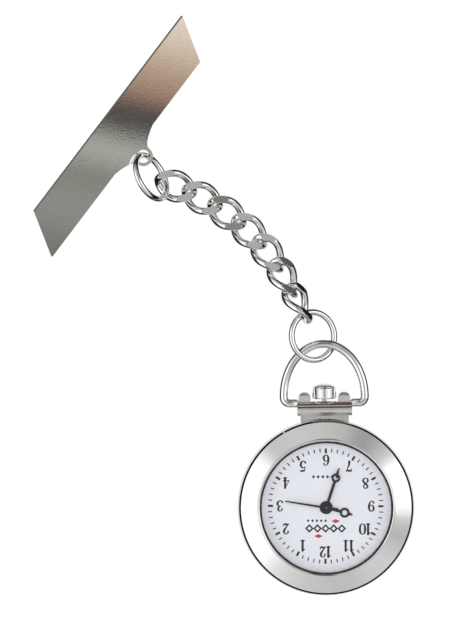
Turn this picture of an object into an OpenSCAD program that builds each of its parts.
// Nurse's fob watch: a quartz watch that hangs upside down from a bar brooch by a short curb chain.
// Units are millimetres. The watch lies on its back with the dial up (+Z), its pendant towards +Y,
// and the origin at the centre of the case back's resting face. The chain and the brooch lie beyond it.

/* [Case] */
// Outer diameter of the case
case_d = 32.4; // [32.2:0.1:32.8]
// Height of the case's widest line above its resting face
case_waist_z = 3.2; // [3.0:0.1:3.4]
// Height of the bezel's lip, the highest line of the watch
lip_z = 7; // [6.9:0.05:7.1]
// Radius of the dial that shows inside the bezel
dial_show_r = 11.8; // [11.7:0.05:11.8]

/* [Pendant and bow] */
// Distance from the watch's centre to the bow's pivot
pivot_y = 19.05; // [18.9:0.05:19.2]
// Height of the stem and of the bow's pivot
pivot_z = 2.7; // [2.6:0.05:2.8]
// Bow's width across the wire's centreline
bow_w = 14.9; // [14.5:0.1:15.4]
// Bow's height from the pivot to the wire's centreline
bow_h = 10.85; // [10.7:0.05:11]
// Bow wire diameter
bow_wire = 1.55; // [1.4:0.05:1.6]
// Tilt of the bow about its pivot as it lies
bow_tilt = -1.8; // [-2.2:0.1:-1.4]
// Crown diameter
crown_d = 4.4; // [4:0.1:4.6]

/* [Chain] */
// Number of curb links
links = 7; // [7:1:7]
// Distance between the pivots at a link's two ends
link_pitch = 5.37; // [5.35:0.01:5.4]
// Link length along the wire's centreline
link_len = 7.1; // [7.05:0.01:7.15]
// Link width across the wire's centreline
link_w = 4.7; // [4.65:0.01:4.75]
// Link wire diameter
link_wire = 1.4; // [1.3:0.05:1.4]
// Twist of the link at each end
link_twist = 55; // [54.5:0.5:55.5]
// Half thickness between the two ground flats
link_flat = 1.35; // [1.3:0.05:1.4]
// Jump ring radius to the wire's centreline
ring_r = 4.4; // [4.38:0.01:4.42]
// Jump ring wire diameter
ring_wire = 1.2; // [1.1:0.05:1.22]

/* [Brooch] */
// Length of the bar along its long edge
bar_len = 44.9; // [43:0.1:46]
// Width of the bar
bar_w = 7.9; // [7.8:0.1:8]
// Offset between the bar's two long edges, which slants its ends
bar_slant = 4.85; // [3.5:0.05:6]
// Thickness of the bar
bar_t = 0.8; // [0.7:0.05:0.8]
// Depth of the pin work behind the bar's middle plane
back_depth = 4.5; // [4.5:0.05:4.6]

/* [Hidden] */

$fn = 96;
eps = 0.01;
run = 0.05; // running clearance on a radius

// metals and plastics
chrome = [0.82, 0.83, 0.84];
satin = [0.74, 0.74, 0.72];
brass = [0.80, 0.66, 0.36];
steel = [0.62, 0.63, 0.65];
plastic = [0.88, 0.88, 0.84];
black = [0.06, 0.06, 0.07];

// ---- levels in the watch, from the resting face upwards ----
back_in_z = 0.6;                 // inner face of the case back
back_top_z = 0.95;               // joint between the back and the middle
snap_z = 1.5;                    // top of the back's snap lip
head_z = 0.72;                   // bridge screw heads
clamp_z = 1;                     // battery clamp
bridge_z = 1.2;                  // train bridge
bridge_t = 0.4;
train_z = bridge_z + bridge_t;   // floor of the wheel space
plate_z = 3.4;                   // main plate
plate_t = 0.7;
under_dial_z = plate_z + plate_t;
dial_z = 4.7;
dial_t = 0.3;
middle_top_z = 5.5;              // joint between the middle and the bezel
case_chamfer = 0.33;             // polished edge just outside the bezel
crystal_z = 5.95;
crystal_t = 0.9;
hour_hand_z = 5.12;
minute_hand_z = 5.4;
second_hand_z = 5.68;
hand_t = 0.14;

case_r = case_d / 2;
bore_r = 12.1;                   // bore of the case middle
bezel_r = 15.55;
snap_r = 12.7;

// ---- movement layout ----
second_at = [0, 0];
intermediate_at = 2.52 * [cos(150), sin(150)];
rotor_at = 4.48 * [cos(150), sin(150)];
third_at = 2.448 * [cos(-20), sin(-20)];
minute_at = [0, 2.4];
setting_at = [0, 5];
battery_at = [-3.8, -4.1];
battery_r = 2.9;
screws_at = [[5, 5.9], [0.9, -8], [-6.8, 1]];
coil_from = [-6.6, 2.6];
coil_to = [-2.6, 6.9];
lever_at = [3.6, 7];
yoke_lever_at = [3.6, 5];

// ---- brooch placement: the bar lies on its pin work, tilted towards the chain tab ----
bar_turn = 52;
bar_tilt = 8;
pin_y = 1;                       // pin line, away from the tab
pin_z = -2.9;
pin_r = 0.35;
hinge_x = -17;
ear_r = back_depth + pin_z;
ear_half = 1.5;
tab_y = -6.1;                    // hole in the tab
tab_hole_r = 1.2;
tab_tip_r = 1.8;
tab_base = 5.7;
bar_at = [-37.35, 68.43, back_depth * cos(bar_tilt) + (ear_half - pin_y) * sin(bar_tilt)];

// ---- jump rings: centre, and the direction that each ring's axis points ----
top_ring_at = [-31.2, 60.87, 4.48];
top_ring_axis = [0.782, 0.371];
bottom_ring_at = [-1.9, 31.36, 2.58];
bottom_ring_axis = [0.444, 0.052];

// ---- chain: pivot before the first link, then each link's heading, climb and roll ----
chain_start = [-29.24, 60.255, 1.532];
link_heading = [-21.9, -28.5, -36.5, -44.5, -54.5, -61, -61.5];
link_climb = [-0.7, -0.3, 1.3, 3.1, 4.5, 4.4, 3.9];
link_roll = [1.6, 0, -3, -9, -20, -38, -58];

function step_of(i) = link_pitch * [
  cos(link_climb[i]) * cos(link_heading[i]),
  cos(link_climb[i]) * sin(link_heading[i]),
  sin(link_climb[i])
];
function pivot_of(i) = i == 0 ? chain_start : pivot_of(i - 1) + step_of(i - 1);

// ---- small helpers ----
function unit(v) = v / norm(v);
function arc(c, r, a0, a1, n) = [for (i = [0:n]) c + r * [cos(a0 + (a1 - a0) * i / n), sin(a0 + (a1 - a0) * i / n)]];

// A tube swept along a path of points, closed into a loop or capped at both ends. The wire's ring of
// points stands square to the path, measured from the direction up.
function sweep_ring(p, t, up, r, sides) =
  let (a = unit(cross(t, up)), b = cross(a, t))
  [for (k = [0:sides - 1]) p + r * (cos(360 * k / sides) * a + sin(360 * k / sides) * b)];
function flatten(l) = [for (a = l) for (b = a) b];

module tube_loop(path, r, sides, up, flat) {
  n = len(path);
  rings = [for (i = [0:n - 1])
    sweep_ring(path[i], unit(path[(i + 1) % n] - path[(i + n - 1) % n]), up, r, sides)];
  points = [for (p = flatten(rings)) [p.x, p.y, max(-flat, min(flat, p.z))]];
  faces = [for (i = [0:n - 1]) for (k = [0:sides - 1])
    [i * sides + k, i * sides + (k + 1) % sides,
     ((i + 1) % n) * sides + (k + 1) % sides, ((i + 1) % n) * sides + k]];
  triangles = flatten([for (f = faces) [[f[0], f[1], f[2]], [f[0], f[2], f[3]]]]);
  polyhedron(points, triangles);
}

module tube_path(path, r, sides, up) {
  n = len(path);
  rings = [for (i = [0:n - 1])
    sweep_ring(path[i], unit(path[min(i + 1, n - 1)] - path[max(i - 1, 0)]), up, r, sides)];
  sides_faces = flatten([for (i = [0:n - 2]) for (k = [0:sides - 1])
    let (a = i * sides + k, b = i * sides + (k + 1) % sides)
    [[a, b, b + sides], [a, b + sides, a + sides]]]);
  caps = [[for (k = [sides - 1:-1:0]) k], [for (k = [0:sides - 1]) (n - 1) * sides + k]];
  polyhedron(flatten(rings), concat(sides_faces, caps));
}

// A pin along Z between two levels
module post(at, r, z0, z1, n = 12) {
  translate([at.x, at.y, z0])
    cylinder(r = r, h = z1 - z0, $fn = n);
}

// A pin along the pendant, from y0 to y1, at the stem's height
module along_stem(r, y0, y1, n = 48) {
  translate([0, y1, pivot_z])
    rotate([90, 0, 0])
      cylinder(r = r, h = y1 - y0, $fn = n);
}

// The turn that puts a gear's space where the gear it meshes with has a tooth. The other gear has
// other_teeth and stands at other_turn, and this one lies in the direction dir from it.
function mesh_turn(other_teeth, other_turn, teeth, dir) =
  dir + 180 - (0.5 - (dir - other_turn) * other_teeth / 360) * 360 / teeth;

// A spur gear's outline: teeth with straight flanks about the pitch circle
module gear(teeth, m, z0, t, turn = 0) {
  pitch_r = teeth * m / 2;
  tooth = 360 / teeth;
  outer = pitch_r + 0.85 * m;
  root = pitch_r - 1.1 * m;
  outline = flatten([for (i = [0:teeth - 1]) [
    root * [cos((i - 0.34) * tooth), sin((i - 0.34) * tooth)],
    outer * [cos((i - 0.12) * tooth), sin((i - 0.12) * tooth)],
    outer * [cos((i + 0.12) * tooth), sin((i + 0.12) * tooth)],
    root * [cos((i + 0.34) * tooth), sin((i + 0.34) * tooth)]
  ]]);
  translate([0, 0, z0])
    rotate([0, 0, turn])
      linear_extrude(t)
        polygon(outline);
}

// Spokes cut from a wheel, leaving a rim and a hub
module crossings(rim_r, hub_r, spokes, z0, t) {
  gap = 360 / spokes - 24;
  for (i = [0:spokes - 1])
    translate([0, 0, z0 - eps])
      linear_extrude(t + 2 * eps)
        polygon(concat(arc([0, 0], rim_r, i * 360 / spokes, i * 360 / spokes + gap, 8),
                       arc([0, 0], hub_r, i * 360 / spokes + gap, i * 360 / spokes, 4)));
}

// ---- brooch ----
module brooch() {
  translate([bar_at.x, bar_at.y, bar_at.z])
    rotate([0, 0, bar_turn])
      rotate([bar_tilt, 0, 0])
        children();
}

// One rounded corner of the bar, turning from one edge's direction to the next
function corner(at, from, to, r) = let (half = (to - from) / 2, d = r / cos(half))
  arc(at + d * [cos(from + half + 180), sin(from + half + 180)], r, from, to, 5);

// The tab's side: it flares out of the bar's edge in a curve, then follows the round tip
function tab_side(s, n) = [for (i = [0:n])
  let (q = i / n, y = -bar_w / 2 - (abs(tab_y) - bar_w / 2) * q)
  [s * (tab_tip_r + (tab_base - tab_tip_r) * pow(1 - q, 2.2)), y]];
function reversed(l) = [for (i = [len(l) - 1:-1:0]) l[i]];

module brooch_plate() {
  half = bar_len / 2;
  h = bar_w / 2;
  lean = bar_slant / 2;
  end_angle = atan2(bar_w, bar_slant);
  outline = concat(
    tab_side(-1, 8),
    [for (a = [200:20:340]) [tab_tip_r * cos(a), tab_y + tab_tip_r * sin(a)]],
    reversed(tab_side(1, 8)),
    corner([half - lean, -h], -90, end_angle - 90, 0.18),
    corner([half + lean, h], end_angle - 90, 90, 0.18),
    corner([-half + lean, h], 90, end_angle + 90, 0.18),
    corner([-half - lean, -h], end_angle + 90, 270, 0.18)
  );
  color(chrome)
    brooch()
      difference() {
        translate([0, 0, -bar_t / 2])
          linear_extrude(bar_t)
            polygon(outline);
        translate([0, tab_y, -bar_t])
          cylinder(r = tab_hole_r, h = 2 * bar_t);
        translate([0, h, bar_t / 2])
          rotate([45, 0, 0])
            cube([bar_len + 10, 0.38, 0.38], center = true);
      }
}

// A pin along the bar's width, through the hinge
module hinge_pin(r, y0, y1, n = 48) {
  translate([hinge_x, y1, pin_z])
    rotate([90, 0, 0])
      cylinder(r = r, h = y1 - y0, $fn = n);
}

rivet_r = 0.38;
knuckle_half = 0.8;
ear_t = 0.6;

module pin_base() {
  foot_z = -bar_t / 2;
  color(satin)
    brooch()
      difference() {
        union() {
          translate([hinge_x - 2.2, pin_y - ear_half, foot_z - 0.4])
            cube([5.4, 2 * ear_half, 0.4]);
          for (s = [-1, 1])
            translate([0, pin_y + s * (ear_half - ear_t / 2), 0]) {
              translate([hinge_x - ear_r, -ear_t / 2, pin_z])
                cube([2 * ear_r, ear_t, foot_z - 0.2 - pin_z]);
              translate([hinge_x, ear_t / 2, pin_z])
                rotate([90, 0, 0])
                  cylinder(r = ear_r, h = ear_t);
            }
        }
        hinge_pin(rivet_r + 0.02, pin_y - 3, pin_y + 3);
      }
}

module pin_hinge_rivet() {
  color(steel)
    brooch()
      union() {
        hinge_pin(rivet_r, pin_y - ear_half - 0.3, pin_y + ear_half + 0.3);
        for (s = [-1, 1])
          hinge_pin(0.7, pin_y + s * (ear_half + 0.18) - 0.15, pin_y + s * (ear_half + 0.18) + 0.15);
      }
}

pin_from = -14.5;
pin_to = 12.5;
pin_tip = 17.2;

module along_bar(r, x0, x1, n = 48) {
  translate([x0, pin_y, pin_z])
    rotate([0, 90, 0])
      cylinder(r = r, h = x1 - x0, $fn = n);
}

module pin_stem() {
  color(steel)
    brooch()
      difference() {
        union() {
          hinge_pin(0.95, pin_y - knuckle_half, pin_y + knuckle_half);
          along_bar(0.6, hinge_x + 0.6, pin_from);
          along_bar(pin_r, pin_from - 0.1, pin_to);
          translate([pin_to, pin_y, pin_z])
            rotate([0, 90, 0])
              cylinder(r1 = pin_r, r2 = 0.05, h = pin_tip - pin_to, $fn = 48);
        }
        hinge_pin(rivet_r + run, pin_y - 2, pin_y + 2);
      }
}

catch_from = 14.2;
catch_to = 16.8;
catch_r = 1.6;
rotor_out_r = 1.06;
rotor_in_r = 0.48;

module catch_housing() {
  color(satin)
    brooch()
      difference() {
        union() {
          along_bar(catch_r, catch_from, catch_to);
          translate([catch_from - 0.3, pin_y - 1.3, pin_z + 1.2])
            cube([catch_to - catch_from + 0.6, 2.6, -bar_t / 2 - pin_z - 1.2]);
        }
        along_bar(rotor_out_r + run, catch_from - 1, catch_to + 1);
        translate([catch_from - 1, pin_y - 0.65, pin_z - 3])
          cube([5, 1.3, 3]);
        translate([catch_from - 1, pin_y - 1.3 - eps, pin_z])
          cube([1 - eps, 2.6 + 2 * eps, 1.3]);
      }
}

module catch_rotor() {
  collar_from = catch_from - 0.85;
  color(steel)
    brooch()
      difference() {
        union() {
          along_bar(rotor_out_r, catch_from - 0.1, catch_to);
          along_bar(1.15, collar_from, catch_from - 0.1);
          translate([collar_from, pin_y + 0.7, pin_z - 0.35])
            cube([0.75, 1.9, 0.7]);
        }
        along_bar(rotor_in_r, collar_from - 1, catch_to + 1);
        translate([collar_from - 1, pin_y - 0.45, pin_z - 3])
          cube([6, 0.9, 3]);
      }
}

// ---- chain ----
module jump_ring(at, axis, gap_turn) {
  lean = norm(axis);
  translate(at)
    rotate([0, 0, atan2(axis.y, axis.x)])
      rotate([0, asin(lean), 0])
        rotate([0, 0, gap_turn])
          rotate_extrude(angle = 357)
            translate([ring_r, 0])
              circle(d = ring_wire, $fn = 48);
}

module top_jump_ring() {
  color(chrome)
    jump_ring(top_ring_at, top_ring_axis, 60);
}

module bottom_jump_ring() {
  color(chrome)
    jump_ring(bottom_ring_at, bottom_ring_axis, -75);
}

link_rings = 44;
link_sides = 12;

module curb_link(i) {
  path = [for (k = [0:link_rings - 1])
    let (a = 360 * k / link_rings, x = link_len / 2 * cos(a), w = link_w / 2 * sin(a),
         turn = -link_twist * cos(a))
    [x, w * cos(turn), w * sin(turn)]];
  color(chrome)
    translate(pivot_of(i) + step_of(i) / 2)
      rotate([0, 0, link_heading[i]])
        rotate([0, -link_climb[i], 0])
          rotate([link_roll[i], 0, 0])
            tube_loop(path, link_wire / 2, link_sides, [0, 0, 1], link_flat);
}

// ---- bow ----
bow_rings = 48;
bow_pin_r = 0.55;
bow_foot = 1.2;                  // straight rise before the arch
bow_pin_in = 3.5;
bow_pin_out = 5.3;

module bow() {
  half = bow_w / 2;
  arch = [for (k = [0:bow_rings]) let (a = 180 * k / bow_rings)
    [half * cos(a), bow_foot + (bow_h - bow_foot) * sin(a), 0]];
  turn_r = 1.1;
  right = [for (a = [-80:20:-20]) [half - turn_r + turn_r * cos(a), turn_r + turn_r * sin(a), 0]];
  left = [for (p = reversed(right)) [-p.x, p.y, 0]];
  path = concat([[bow_pin_out - 0.15, 0, 0]], right, arch, left, [[-bow_pin_out + 0.15, 0, 0]]);
  color(chrome)
    translate([0, pivot_y, pivot_z])
      rotate([bow_tilt, 0, 0])
        union() {
          tube_path(path, bow_wire / 2, 14, [0, 0, 1]);
          for (s = [-1, 1])
            translate([s * (bow_pin_in + bow_pin_out) / 2, 0, 0])
              rotate([0, 90, 0])
                cylinder(r = bow_pin_r, h = bow_pin_out - bow_pin_in, center = true, $fn = 48);
        }
}

// ---- pendant ----
ear_in = 2.55;
ear_out = 4.7;
yoke_half = 5;

module across(y, r, half) {
  translate([-half, y, pivot_z])
    rotate([0, 90, 0])
      cylinder(r = r, h = 2 * half);
}

module pendant_yoke() {
  bar_r = 1.35;
  ear_width = ear_out - ear_in;
  ear_top = pivot_y + 2.05;
  ear_from = 17.6;
  ear_front = pivot_z + 1.5;
  color(satin)
    difference() {
      union() {
        translate([0, 0, 0.85])
          across(18.05, bar_r, yoke_half);
        translate([0.6 - yoke_half, 15.4, 1])
          cube([2 * yoke_half - 1.2, 3.6, 2.9]);
        for (s = [-1, 1])
          translate([s * (ear_in + ear_out) / 2, 0, 0])
            intersection() {
              union() {
                translate([-ear_width / 2, ear_from, 0])
                  cube([ear_width, ear_top - ear_width / 2 - ear_from, ear_front]);
                translate([0, ear_top - ear_width / 2, 0])
                  cylinder(d = ear_width, h = ear_front);
              }
              union() {
                across(pivot_y, 2.05, ear_width);
                translate([-ear_width, ear_from, pivot_z - 2.05])
                  cube([2 * ear_width, pivot_y - ear_from, 4.1]);
              }
            }
      }
      cylinder(r = case_r + 0.02, h = 12, center = true);
      along_stem(1.12, 14, 21);
      for (s = [-1, 1])
        translate([s * (yoke_half + 0.6), pivot_y, pivot_z])
          rotate([0, -s * 90, 0])
            cylinder(r = bow_pin_r + run, h = yoke_half + 0.6 - bow_pin_in + 0.15, $fn = 48);
    }
}

module pendant_tube() {
  color(steel)
    difference() {
      along_stem(1.1, 12.5, 18.9);
      along_stem(0.6, 12, 19.2);
    }
}

// ---- case ----
module case_middle() {
  low = [for (a = [0:7.5:90]) [14.3 + (case_r - 14.3) * sin(a),
                               case_waist_z - (case_waist_z - back_top_z - 0.02) * cos(a)]];
  rim = [bezel_r + 0.05 + case_chamfer, middle_top_z - case_chamfer];
  high = concat([for (a = [7.5:7.5:60]) [rim.x + (case_r - rim.x) * (2 * cos(a) - 1),
                                         case_waist_z + (rim.y - case_waist_z) * sin(a) / sin(60)]],
                [[rim.x - case_chamfer, middle_top_z]]);
  inside = [[bore_r, middle_top_z], [bore_r, snap_z + 0.05], [snap_r + 0.05, snap_z + 0.05],
            [snap_r + 0.05, 1.33], [13.4, 1.33], [13.4, back_top_z + 0.02]];
  color(chrome)
    difference() {
      rotate_extrude()
        polygon(concat(low, high, inside));
      along_stem(1.12, 11, 18);
    }
}

module bezel() {
  cone_from = middle_top_z + 0.25;
  color(satin)
    rotate_extrude()
      polygon(concat(
        [[bore_r - 0.05, middle_top_z + 0.02], [bezel_r, middle_top_z + 0.02], [bezel_r, cone_from]],
        [[12.65, lip_z - 0.06]],
        arc([12.38, lip_z - 0.24], 0.24, 60, 170, 6),
        [[bore_r + 0.02, 5.75], [dial_show_r, 5.6], [dial_show_r, dial_z + dial_t + 0.05],
         [bore_r - 0.05, dial_z + dial_t + 0.05]]
      ));
}

module crystal() {
  color([0.8, 0.85, 0.88, 0.35])
    rotate_extrude()
      polygon([[0, crystal_z], [dial_show_r - 0.02, crystal_z],
               [dial_show_r - 0.02, crystal_z + crystal_t - 0.15],
               [dial_show_r - 0.17, crystal_z + crystal_t], [0, crystal_z + crystal_t]]);
}

module crystal_gasket() {
  color(black)
    rotate_extrude()
      polygon([[dial_show_r, crystal_z - 0.18], [bore_r, crystal_z - 0.17],
               [bore_r, crystal_z + crystal_t - 0.1], [dial_show_r, crystal_z + crystal_t - 0.1]]);
}

module case_back() {
  color(chrome)
    rotate_extrude()
      polygon([[0, 0], [12.6, 0], [13.6, 0.25], [14.2, 0.75], [14.2, back_top_z],
               [snap_r, back_top_z], [snap_r, snap_z], [bore_r, snap_z], [bore_r, back_in_z],
               [0, back_in_z]]);
}

module case_back_gasket() {
  color(black)
    rotate_extrude()
      translate([snap_r + 0.1, back_top_z + 0.03])
        square([0.55, 0.3]);
}

module dial() {
  color([0.92, 0.92, 0.94])
    difference() {
      union() {
        translate([0, 0, dial_z])
          cylinder(r = bore_r - 0.1, h = dial_t);
        for (at = [[6.3, -5], [-6.3, 5]])
          post(at, 0.35, plate_z + 0.1, dial_z + eps, 24);
      }
      translate([0, 0, dial_z - 1])
        cylinder(r = 0.95, h = 3);
    }
}

// ---- movement ----
module plate_outline(r, w) {
  intersection() {
    circle(r = r);
    square([w, 2 * r + 1], center = true);
  }
}

module movement_holder() {
  color(plastic)
    difference() {
      translate([0, 0, back_in_z + 0.05])
        cylinder(r = bore_r - 0.05, h = dial_z - back_in_z - 0.1);
      translate([0, 0, 0])
        linear_extrude(8)
          plate_outline(8.95, 15.4);
      translate([-1.6, 7, 1.3])
        cube([3.2, 6, 2.8]);
      for (a = [30, 150, 210, 330])
        rotate([0, 0, a])
          translate([10.2, 0, 2])
            cylinder(r = 0.9, h = 4);
    }
}

module main_plate() {
  color(brass)
    difference() {
      union() {
        translate([0, 0, plate_z])
          linear_extrude(plate_t)
            plate_outline(8.9, 15.3);
        for (at = screws_at)
          post(at, 0.75, train_z + 0.01, plate_z + eps, 32);
      }
      for (at = screws_at)
        post(at, 0.3, train_z - 1, plate_z - 0.3, 24);
      for (at = [intermediate_at, rotor_at, third_at])
        post(at, 0.2, plate_z - 1, plate_z + 0.3, 24);
      for (at = [minute_at, setting_at])
        post(at, 0.3, under_dial_z - 0.4, under_dial_z + 1, 24);
      post([0, 0], 0.55, plate_z - 1, under_dial_z + 1, 32);
      for (at = [[6.3, -5], [-6.3, 5]])
        post(at, 0.4, plate_z - 1, under_dial_z + 1, 24);
      post(lever_at, 0.36, plate_z - 1, plate_z + 0.35, 24);
      post(yoke_lever_at, 0.36, plate_z - 1, plate_z + 0.35, 24);
    }
}

module train_bridge() {
  color(brass)
    difference() {
      union() {
        translate([0, 0, bridge_z])
          linear_extrude(bridge_t)
            difference() {
              plate_outline(8.9, 15.3);
              translate(battery_at)
                circle(r = battery_r + 0.15);
              translate([battery_at.x - 6, battery_at.y - 6])
                square([6, 6]);
            }
        post(screws_at[0], 0.9, clamp_z, bridge_z + eps, 32);
      }
      for (at = screws_at)
        post(at, 0.33, bridge_z - 1, train_z + 1, 24);
      for (at = [intermediate_at, rotor_at, third_at, second_at])
        post(at, 0.2, bridge_z + 0.1, train_z + 1, 24);
    }
}

module bridge_screw(i) {
  at = screws_at[i];
  color(steel)
    difference() {
      union() {
        post(at, 0.65, head_z, clamp_z - 0.01, 32);
        post(at, 0.28, head_z, plate_z - 0.5, 24);
      }
      translate([at.x - 1, at.y - 0.08, head_z - 1])
        cube([2, 0.16, 1.12]);
    }
}

module battery_cell() {
  color(steel)
    translate([battery_at.x, battery_at.y, 0])
      rotate_extrude()
        polygon([[0, bridge_z + 0.02], [battery_r - 0.1, bridge_z + 0.02], [battery_r, bridge_z + 0.12],
                 [battery_r, 3.0], [battery_r - 0.35, 3.15], [battery_r - 0.35, 3.3], [0, 3.3]]);
}

module battery_clamp() {
  from = screws_at[2];
  to = screws_at[1];
  turn = atan2(to.y - from.y, to.x - from.x);
  length = norm(to - from);
  color(steel)
    difference() {
      translate([from.x, from.y, clamp_z])
        rotate([0, 0, turn])
          union() {
            translate([0, -0.85, 0])
              cube([length, 1.7, 0.18]);
            for (x = [0, length])
              translate([x, 0, 0])
                cylinder(r = 0.85, h = 0.18);
          }
      for (at = [from, to])
        post(at, 0.33, 0, 3, 24);
    }
}

module circuit_board() {
  color([0.10, 0.30, 0.16])
    difference() {
      translate([0, 0, train_z + 0.1])
        linear_extrude(0.25)
          intersection() {
            circle(r = 8.6);
            polygon([[0.4, -7.2], [7.4, -7.2], [7.4, 4.2], [5.2, 4.2], [5.2, -3.4], [0.4, -3.4]]);
          }
      for (at = screws_at)
        post(at, 1, 1, 3, 24);
    }
}

board_top = train_z + 0.35;

module quartz_can() {
  color(steel)
    union() {
      translate([1.2, -6, board_top + 0.65])
        rotate([0, 90, 0])
          cylinder(d = 1.2, h = 4);
      for (y = [-6.2, -5.8])
        translate([5.1, y, board_top + 0.65])
          rotate([0, 90, 0])
            cylinder(d = 0.14, h = 0.9, $fn = 16);
    }
}

module ic_chip() {
  color(black)
    translate([5.6, -1.6, board_top + 0.01])
      cube([1.5, 1.7, 0.4]);
}

coil_mid = (coil_from + coil_to) / 2;
coil_turn = atan2(coil_to.y - coil_from.y, coil_to.x - coil_from.x);
coil_len = norm(coil_to - coil_from);
core_z = 2.2;

module in_coil() {
  translate([coil_mid.x, coil_mid.y, core_z])
    rotate([0, 0, coil_turn])
      children();
}

module coil() {
  color([0.72, 0.36, 0.16])
    in_coil()
      difference() {
        union() {
          translate([-0.45, 0, 0])
            rotate([0, 90, 0])
              cylinder(r = 0.5, h = 2.8, center = true);
          for (s = [-1, 1])
            translate([s * 1.35 - 0.45, 0, 0])
              rotate([0, 90, 0])
                cylinder(r = 0.56, h = 0.16, center = true);
        }
        cube([coil_len, 0.62, 0.32], center = true);
      }
}

module coil_core() {
  color(steel)
    in_coil()
      union() {
        cube([coil_len, 0.6, 0.3], center = true);
        for (s = [-1, 1])
          translate([s * (coil_len / 2 - 0.2), 0, 0])
            cylinder(r = 0.5, h = 0.3, center = true);
      }
}

module stator() {
  stator_z = core_z + 0.16;
  color(satin)
    difference() {
      union() {
        post(rotor_at, 1.4, stator_z, stator_z + 0.3, 48);
        for (at = [coil_from + [0.2, 0.15], coil_to - [0.15, 0.2]]) {
          post(at, 0.5, stator_z, stator_z + 0.3, 32);
          turn = atan2(at.y - rotor_at.y, at.x - rotor_at.x);
          translate([rotor_at.x, rotor_at.y, stator_z])
            rotate([0, 0, turn])
              translate([0, -0.3, 0])
                cube([norm(at - rotor_at), 0.6, 0.3]);
        }
      }
      post(rotor_at, 0.8, 0, 5, 48);
    }
}

module at_xy(at) {
  translate([at.x, at.y, 0])
    children();
}

intermediate_turn = mesh_turn(60, 0, 12, 150);
rotor_turn = mesh_turn(48, 0, 8, 150);
third_turn = mesh_turn(8, 0, 60, -20);
centre_turn = mesh_turn(8, 0, 64, 160);
minute_wheel_turn = mesh_turn(12, 0, 36, 90);
hour_wheel_turn = mesh_turn(10, 0, 40, -90);
setting_wheel_turn = mesh_turn(36, minute_wheel_turn, 16, 90);

module rotor() {
  color(steel)
    at_xy(rotor_at)
      union() {
        gear(8, 0.07, 1.85, 0.25, rotor_turn);
        post([0, 0], 0.65, 2.4, 2.75);
        post([0, 0], 0.15, bridge_z + 0.15, plate_z + 0.25);
      }
}

module intermediate_wheel() {
  color(plastic)
    at_xy(intermediate_at)
      union() {
        difference() {
          gear(48, 0.07, 1.9, 0.15);
          crossings(1.3, 0.6, 4, 1.9, 0.15);
        }
        gear(12, 0.07, 2.12, 0.2, intermediate_turn);
        post([0, 0], 0.15, bridge_z + 0.15, plate_z + 0.25);
      }
}

module second_wheel() {
  color(brass)
    union() {
      difference() {
        gear(60, 0.07, 2.15, 0.14);
        crossings(1.75, 0.6, 5, 2.15, 0.14);
      }
      gear(8, 0.072, 2.5, 0.3);
      post([0, 0], 0.12, bridge_z + 0.15, second_hand_z + 0.2);
    }
}

module third_wheel() {
  color(brass)
    at_xy(third_at)
      union() {
        difference() {
          gear(60, 0.072, 2.58, 0.14, third_turn);
          crossings(1.8, 0.6, 5, 2.58, 0.14);
        }
        gear(8, 0.068, 3.05, 0.3);
        post([0, 0], 0.15, bridge_z + 0.15, plate_z + 0.25);
      }
}

module centre_wheel() {
  color(brass)
    difference() {
      union() {
        gear(64, 0.068, 3.12, 0.14, centre_turn);
        post([0, 0], 0.3, 3, minute_hand_z - 0.02);
      }
      crossings(1.8, 0.6, 5, 3.12, 0.14);
      post([0, 0], 0.18, 2, 7);
    }
}

module cannon_pinion() {
  color(steel)
    difference() {
      union() {
        gear(12, 0.1, under_dial_z + 0.04, 0.22);
        post([0, 0], 0.48, under_dial_z + 0.04, minute_hand_z + 0.1);
      }
      post([0, 0], 0.32, 3, 7);
    }
}

module minute_wheel() {
  color(brass)
    at_xy(minute_at)
      union() {
        difference() {
          gear(36, 0.1, under_dial_z + 0.06, 0.16, minute_wheel_turn);
          crossings(1.35, 0.75, 3, under_dial_z + 0.06, 0.16);
        }
        gear(10, 0.096, under_dial_z + 0.2, 0.34);
        post([0, 0], 0.25, under_dial_z - 0.35, under_dial_z + 0.3);
      }
}

module hour_wheel() {
  color(brass)
    difference() {
      union() {
        gear(40, 0.096, under_dial_z + 0.34, 0.16, hour_wheel_turn);
        post([0, 0], 0.8, under_dial_z + 0.34, hour_hand_z + 0.1);
      }
      post([0, 0], 0.54, 3, 7);
    }
}

module setting_wheel() {
  color(steel)
    at_xy(setting_at)
      union() {
        gear(16, 0.1, under_dial_z + 0.06, 0.16, setting_wheel_turn);
        post([0, 0], 0.25, under_dial_z - 0.35, under_dial_z + 0.2);
      }
}

// ---- winding work ----
groove_y = 7;
clutch_groove_y = 5.35;

module winding_stem() {
  color(steel)
    difference() {
      union() {
        along_stem(0.42, 3.9, 20.6);
        along_stem(0.55, 13.4, 16.8);
      }
      difference() {
        along_stem(1, groove_y - 0.35, groove_y + 0.35);
        along_stem(0.22, groove_y - 1, groove_y + 1);
      }
    }
}

module sliding_pinion() {
  color(steel)
    translate([0, 6, pivot_z])
      rotate([90, 0, 0])
        difference() {
          union() {
            gear(12, 0.09, 0.1, 0.18);
            gear(12, 0.09, 0.85, 0.18);
            cylinder(r = 0.5, h = 1.2, $fn = 24);
          }
          translate([0, 0, -1])
            cylinder(r = 0.44, h = 4, $fn = 24);
        }
}

module setting_lever() {
  color(steel)
    union() {
      translate([0.32, groove_y - 0.18, 2.5])
        cube([1.2, 0.36, 0.4]);
      translate([1.3, groove_y - 0.4, 2.5])
        cube([lever_at.x - 1.3, 0.8, 0.4]);
      post(lever_at, 0.6, 2.5, 2.9, 32);
      post(lever_at, 0.3, 2.5, plate_z + 0.3, 24);
    }
}

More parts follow.
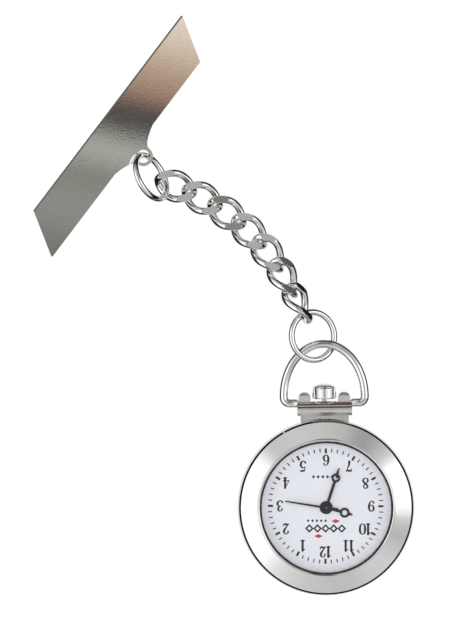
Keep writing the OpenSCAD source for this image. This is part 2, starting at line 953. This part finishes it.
module yoke_lever() {
  color(steel)
    union() {
      translate([0.55, clutch_groove_y - 0.13, 2.5])
        cube([1.2, 0.26, 0.4]);
      translate([1.5, yoke_lever_at.y - 0.3, 2.5])
        cube([yoke_lever_at.x - 1.5, 0.7, 0.4]);
      post(yoke_lever_at, 0.6, 2.5, 2.9, 32);
      post(yoke_lever_at, 0.3, 2.5, plate_z + 0.3, 24);
    }
}

crown_from = 19.8;
crown_to = 22.6;

module crown() {
  flutes = 16;
  wall = crown_d / 2;
  dome_r = 3.2;
  color(chrome)
    translate([0, 0, pivot_z])
      rotate([-90, 0, 0])
        difference() {
          rotate_extrude()
            polygon(concat([[0, crown_from], [wall - 0.25, crown_from], [wall, crown_from + 0.25],
                            [wall, crown_to - 0.95]],
                           [for (a = [0:9]) [(wall - 0.12) * cos(a * 10), crown_to - 0.8 + 0.8 * sin(a * 10)]]));
          for (i = [0:flutes - 1])
            rotate([0, 0, 360 * (i + 0.5) / flutes])
              translate([wall + 0.12, 0, crown_from - 1])
                cylinder(r = 0.27, h = crown_to - crown_from + 0.1, $fn = 24);
          translate([0, 0, crown_from - 1])
            cylinder(r = 0.44, h = 1.9, $fn = 48);
          translate([0, 0, crown_from - eps])
            difference() {
              cylinder(r = 1.5, h = 0.35);
              cylinder(r = 0.7, h = 1, center = true);
            }
        }
}

module crown_gasket() {
  color(black)
    difference() {
      along_stem(0.58, 17.1, 17.6);
      along_stem(0.44, 17, 18);
    }
}

// ---- hands, set at the time shown ----
minute_turn = 198.8 + 180;
hour_turn = 286.3 + 180;
second_turn = 99.8 + 180;

// A hand's outline along +Y: tail, slim blade, ring and point
module ring_hand(length, ring_at, ring_out, ring_in, blade, hub, z, bore) {
  translate([0, 0, z])
    linear_extrude(hand_t)
      difference() {
        union() {
          circle(r = hub);
          translate([-blade / 2, 0])
            square([blade, ring_at - ring_in]);
          translate([0, ring_at])
            circle(r = ring_out);
          polygon([[-ring_out * 0.34, ring_at + ring_out * 0.85], [ring_out * 0.34, ring_at + ring_out * 0.85],
                   [blade * 0.16, length], [-blade * 0.16, length]]);
        }
        translate([0, ring_at])
          circle(r = ring_in);
        circle(r = bore);
      }
}

module hour_hand() {
  color(black)
    rotate([0, 0, -hour_turn])
      ring_hand(5, 3.5, 0.9, 0.5, 0.5, 1.2, hour_hand_z, 0.8);
}

module minute_hand() {
  color(black)
    rotate([0, 0, -minute_turn])
      ring_hand(7.6, 5.7, 0.8, 0.42, 0.5, 1, minute_hand_z, 0.48);
}

module second_hand() {
  color(black)
    rotate([0, 0, -second_turn])
      translate([0, 0, second_hand_z])
        linear_extrude(hand_t)
          difference() {
            union() {
              circle(r = 0.55);
              polygon([[-0.24, -2.2], [0.24, -2.2], [0.12, 7.6], [-0.12, 7.6]]);
            }
            circle(r = 0.12, $fn = 24);
          }
}

brooch_plate();
pin_base();
pin_hinge_rivet();
pin_stem();
catch_housing();
catch_rotor();
top_jump_ring();
curb_link(0);  // curb_link_1
curb_link(1);  // curb_link_2
curb_link(2);  // curb_link_3
curb_link(3);  // curb_link_4
curb_link(4);  // curb_link_5
curb_link(5);  // curb_link_6
curb_link(6);  // curb_link_7
bottom_jump_ring();
bow();
pendant_yoke();
pendant_tube();
case_middle();
bezel();
crystal();
crystal_gasket();
case_back();
case_back_gasket();
dial();
movement_holder();
crown();
crown_gasket();
winding_stem();
sliding_pinion();
setting_lever();
yoke_lever();
setting_wheel();
main_plate();
train_bridge();
bridge_screw(0);  // bridge_screw_1
bridge_screw(1);  // bridge_screw_2
bridge_screw(2);  // bridge_screw_3
circuit_board();
quartz_can();
ic_chip();
coil();
coil_core();
stator();
rotor();
intermediate_wheel();
second_wheel();
third_wheel();
centre_wheel();
cannon_pinion();
minute_wheel();
hour_wheel();
battery_cell();
battery_clamp();
hour_hand();
minute_hand();
second_hand();
